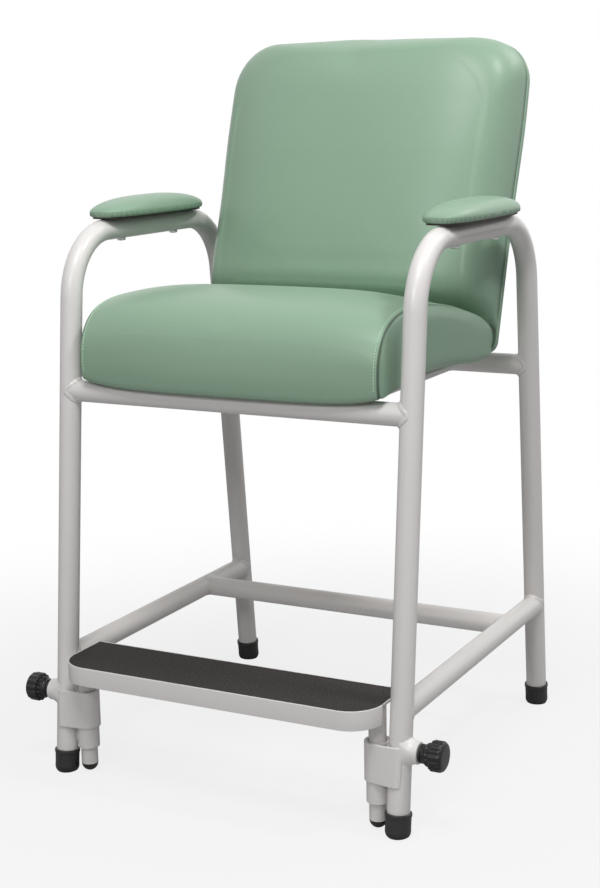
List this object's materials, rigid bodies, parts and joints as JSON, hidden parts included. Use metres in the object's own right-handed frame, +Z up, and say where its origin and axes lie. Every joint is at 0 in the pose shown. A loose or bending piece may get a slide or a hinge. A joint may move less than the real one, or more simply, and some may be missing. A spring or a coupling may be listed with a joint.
{
  "type": "hip chair",
  "caption": "High-seat hip chair on a light grey tube frame, with sage green padded seat, back and armrests and a sliding footrest clamped by hand knobs.",
  "frame": {"origin": "on the floor, under the middle of the chair's overall box", "axes": "+Z up, -Y the way the sitter faces, +X to the sitter's left and the viewer's right when the chair is seen from the front; the chair is symmetric about the plane X = 0"},
  "size_m": [0.6044, 0.5729, 0.9563],
  "materials": {
    "frame_paint": "satin",
    "vinyl": "satin",
    "plywood": "matte",
    "dark_board": "satin",
    "rubber": "matte",
    "mat": "matte",
    "knob_plastic": "gloss",
    "bearing_plastic": "satin",
    "zinc_steel": "satin"
  },
  "bodies": {
    "frame": {"left_side_frame": "frame_paint", "right_side_frame": "frame_paint", "front_seat_rail": "frame_paint", "rear_seat_rail": "frame_paint", "left_seat_rail": "frame_paint", "right_seat_rail": "frame_paint", "left_stretcher": "frame_paint", "right_stretcher": "frame_paint", "cross_stretcher": "frame_paint", "front_left_tip": "rubber", "front_right_tip": "rubber", "rear_left_tip": "rubber", "rear_right_tip": "rubber", "left_sleeve": "frame_paint", "right_sleeve": "frame_paint", "left_sleeve_liner": "bearing_plastic", "right_sleeve_liner": "bearing_plastic", "left_sleeve_band": "frame_paint", "right_sleeve_band": "frame_paint", "left_knob_boss": "frame_paint", "right_knob_boss": "frame_paint", "seat_board": "plywood", "seat_cushion": "vinyl", "seat_screws": "zinc_steel", "seat_tee_nuts": "zinc_steel", "back_board": "plywood", "back_cushion": "vinyl", "back_panel": "vinyl", "left_back_upright": "frame_paint", "right_back_upright": "frame_paint", "back_upright_caps": "rubber", "back_screws": "zinc_steel", "back_tee_nuts": "zinc_steel", "left_arm_board": "dark_board", "right_arm_board": "dark_board", "left_arm_pad": "vinyl", "right_arm_pad": "vinyl", "arm_screws": "zinc_steel", "arm_tee_nuts": "zinc_steel"},
    "footrest": {"footrest_pan": "frame_paint", "footrest_mat": "mat", "left_footrest_upright": "frame_paint", "right_footrest_upright": "frame_paint", "left_upright_tip": "rubber", "right_upright_tip": "rubber"},
    "left_pad": {"left_pressure_pad": "bearing_plastic"},
    "left_screw": {"left_clamp_stud": "zinc_steel", "left_clamp_knob": "knob_plastic"},
    "right_pad": {"right_pressure_pad": "bearing_plastic"},
    "right_screw": {"right_clamp_stud": "zinc_steel", "right_clamp_knob": "knob_plastic"}
  },
  "joints": [
    {"name": "footrest_slide", "type": "slide", "parent": "frame", "child": "footrest", "axis": [0, 0, 1], "range_m": [0, 0.0762]},
    {"name": "left_clamp_feed", "type": "slide", "parent": "frame", "child": "left_pad", "axis": [-1, 0, 0], "range_m": [0, 0.003]},
    {"name": "left_clamp_turn", "type": "hinge", "parent": "left_pad", "child": "left_screw", "pos_m": [-0.27, -0.23541, 0.107], "axis": [-1, 0, 0], "range_deg": [0, 720]},
    {"name": "right_clamp_feed", "type": "slide", "parent": "frame", "child": "right_pad", "axis": [1, 0, 0], "range_m": [0, 0.003]},
    {"name": "right_clamp_turn", "type": "hinge", "parent": "right_pad", "child": "right_screw", "pos_m": [0.27, -0.23541, 0.107], "axis": [1, 0, 0], "range_deg": [0, 720]}
  ],
  "couplings": [
    {"joint": "left_clamp_turn", "follows": "left_clamp_feed", "rad_per_m": 4188.8},
    {"joint": "right_clamp_turn", "follows": "right_clamp_feed", "rad_per_m": 4188.8}
  ]
}
